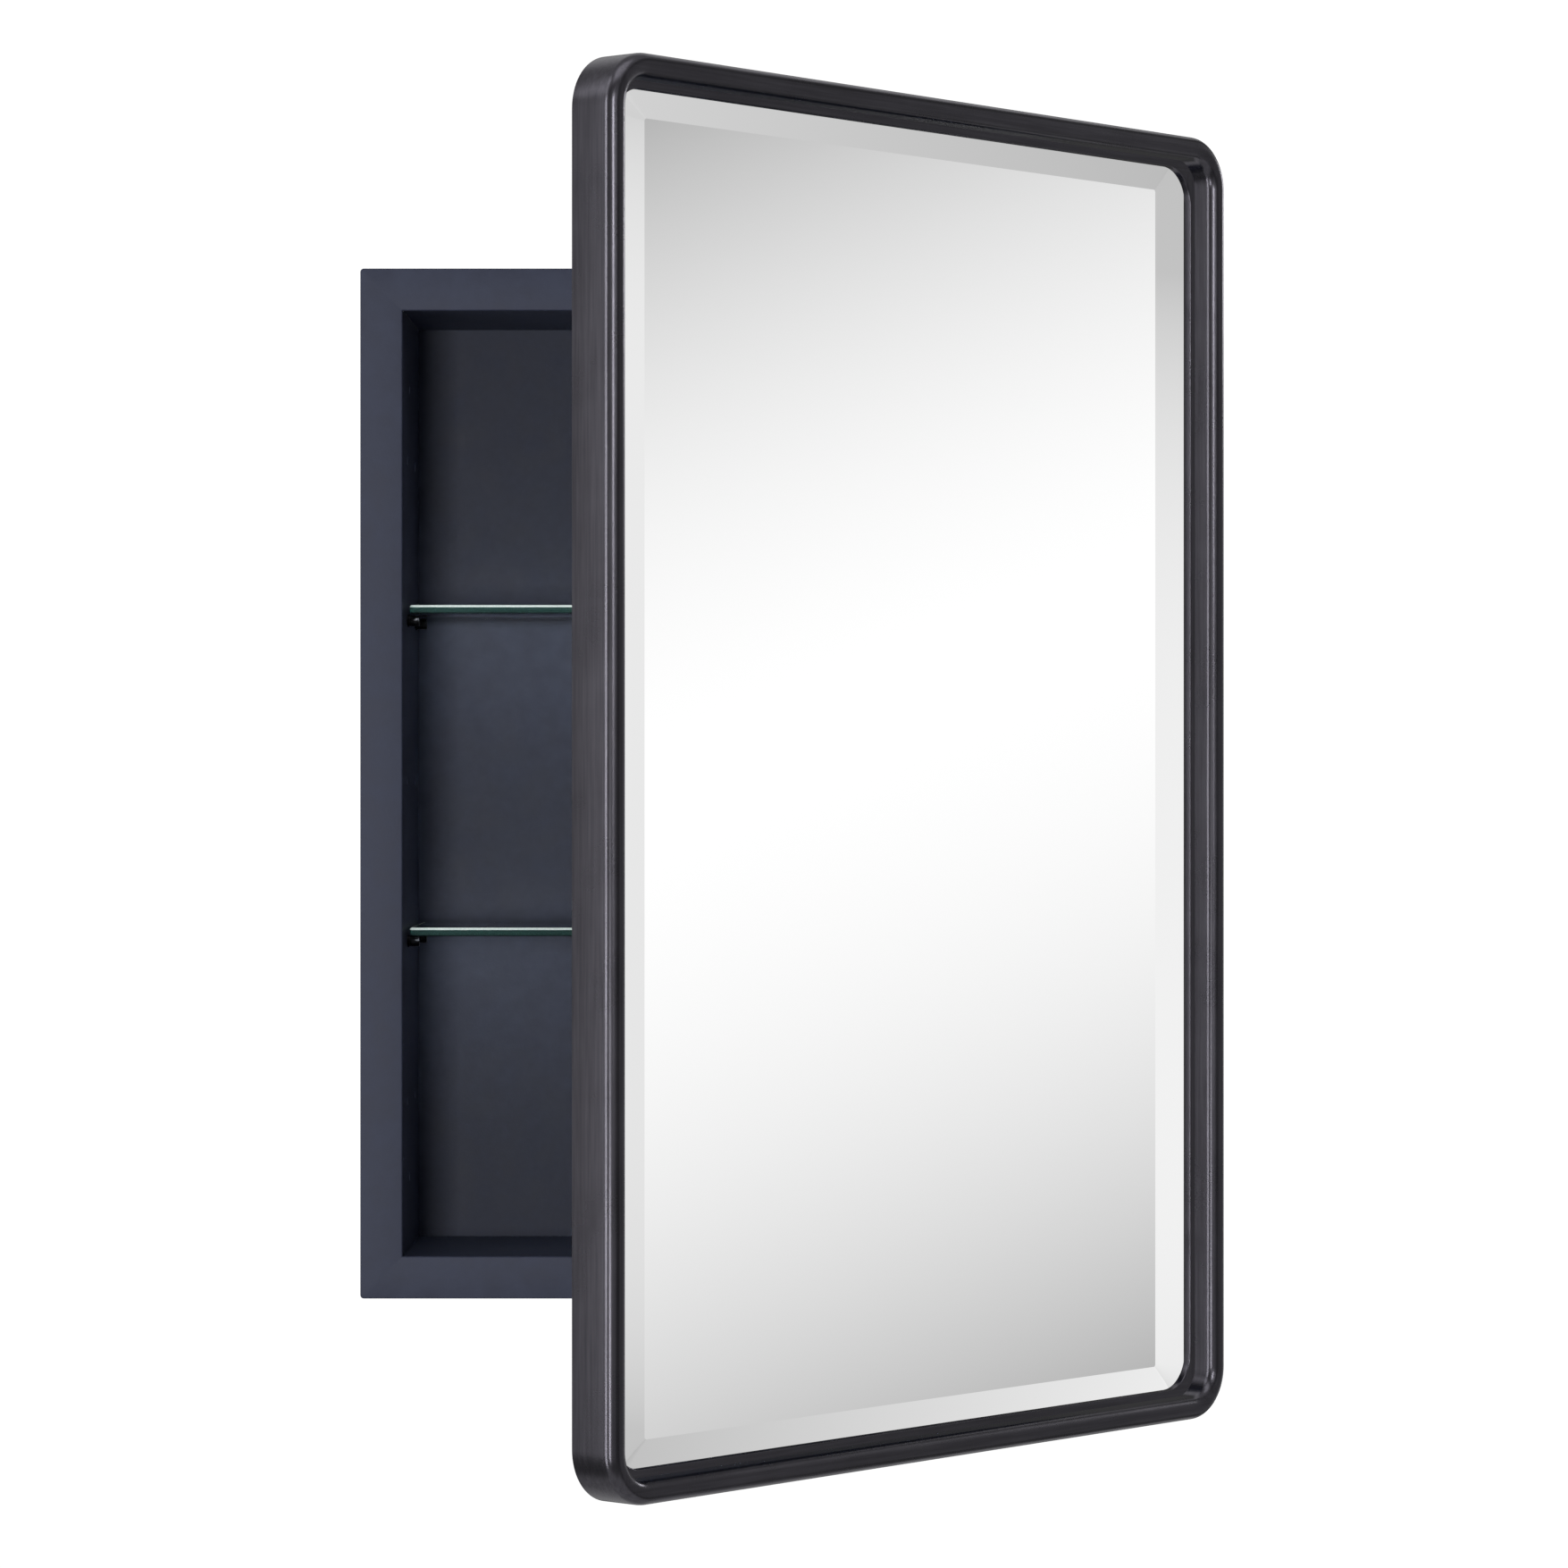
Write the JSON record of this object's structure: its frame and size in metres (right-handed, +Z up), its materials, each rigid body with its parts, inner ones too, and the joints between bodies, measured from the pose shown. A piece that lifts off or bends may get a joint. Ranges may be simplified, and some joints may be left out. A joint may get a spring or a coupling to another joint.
{
  "type": "medicine cabinet",
  "caption": "Recessed medicine cabinet with glass shelves and a framed, bevelled mirror door that swings on hinges at its right side.",
  "frame": {"origin": "centre of the rear face of the back panel", "axes": "+Z up, -Y out of the front of the cabinet towards the room, +X to the right seen from the front"},
  "size_m": [0.4832, 0.5321, 0.7112],
  "materials": {
    "powder_coat": "satin slate powder coat",
    "bronze": "brushed dark bronze",
    "mirror": "silvered, bevelled",
    "shelf_glass": "clear, arrised edges",
    "zinc_steel": "zinc plated",
    "black_steel": "black oxide",
    "backing_board": "black board",
    "black_rubber": "matt",
    "magnet": "ferrite"
  },
  "bodies": {
    "cabinet": {"back_panel": "powder_coat", "bottom_wall": "powder_coat", "face_trim": "powder_coat", "glass_shelf_lower": "shelf_glass", "glass_shelf_upper": "shelf_glass", "hinge_lower_cabinet_leaf": "zinc_steel", "hinge_lower_cabinet_screw_bottom": "zinc_steel", "hinge_lower_cabinet_screw_top": "zinc_steel", "hinge_lower_pin": "zinc_steel", "hinge_upper_cabinet_leaf": "zinc_steel", "hinge_upper_cabinet_screw_bottom": "zinc_steel", "hinge_upper_cabinet_screw_top": "zinc_steel", "hinge_upper_pin": "zinc_steel", "left_wall": "powder_coat", "right_wall": "powder_coat", "shelf_pin_lower_left_front": "black_steel", "shelf_pin_lower_left_rear": "black_steel", "shelf_pin_lower_right_front": "black_steel", "shelf_pin_lower_right_rear": "black_steel", "shelf_pin_upper_left_front": "black_steel", "shelf_pin_upper_left_rear": "black_steel", "shelf_pin_upper_right_front": "black_steel", "shelf_pin_upper_right_rear": "black_steel", "top_wall": "powder_coat"},
    "door": {"bumper_lower_left": "black_rubber", "bumper_lower_right": "black_rubber", "bumper_upper_left": "black_rubber", "bumper_upper_right": "black_rubber", "clip_bottom_left": "zinc_steel", "clip_bottom_right": "zinc_steel", "clip_middle_left": "zinc_steel", "clip_middle_right": "zinc_steel", "clip_screw_bottom_left": "zinc_steel", "clip_screw_bottom_right": "zinc_steel", "clip_screw_middle_left": "zinc_steel", "clip_screw_middle_right": "zinc_steel", "clip_screw_top_left": "zinc_steel", "clip_screw_top_right": "zinc_steel", "clip_top_left": "zinc_steel", "clip_top_right": "zinc_steel", "door_backing": "backing_board", "door_frame": "bronze", "hinge_lower_door_leaf": "zinc_steel", "hinge_lower_door_screw_bottom": "zinc_steel", "hinge_lower_door_screw_top": "zinc_steel", "hinge_upper_door_leaf": "zinc_steel", "hinge_upper_door_screw_bottom": "zinc_steel", "hinge_upper_door_screw_top": "zinc_steel", "magnet_cup_lower": "zinc_steel", "magnet_cup_upper": "zinc_steel", "magnet_lower": "magnet", "magnet_upper": "magnet", "mirror_gasket": "black_rubber", "mirror_glass": "mirror"}
  },
  "joints": [
    {"name": "door_hinge", "type": "hinge", "parent": "cabinet", "child": "door", "pos_m": [0.249, -0.1323, 0.003], "axis": [0, 0, 1], "range_deg": [-49.4, 50.6]}
  ]
}
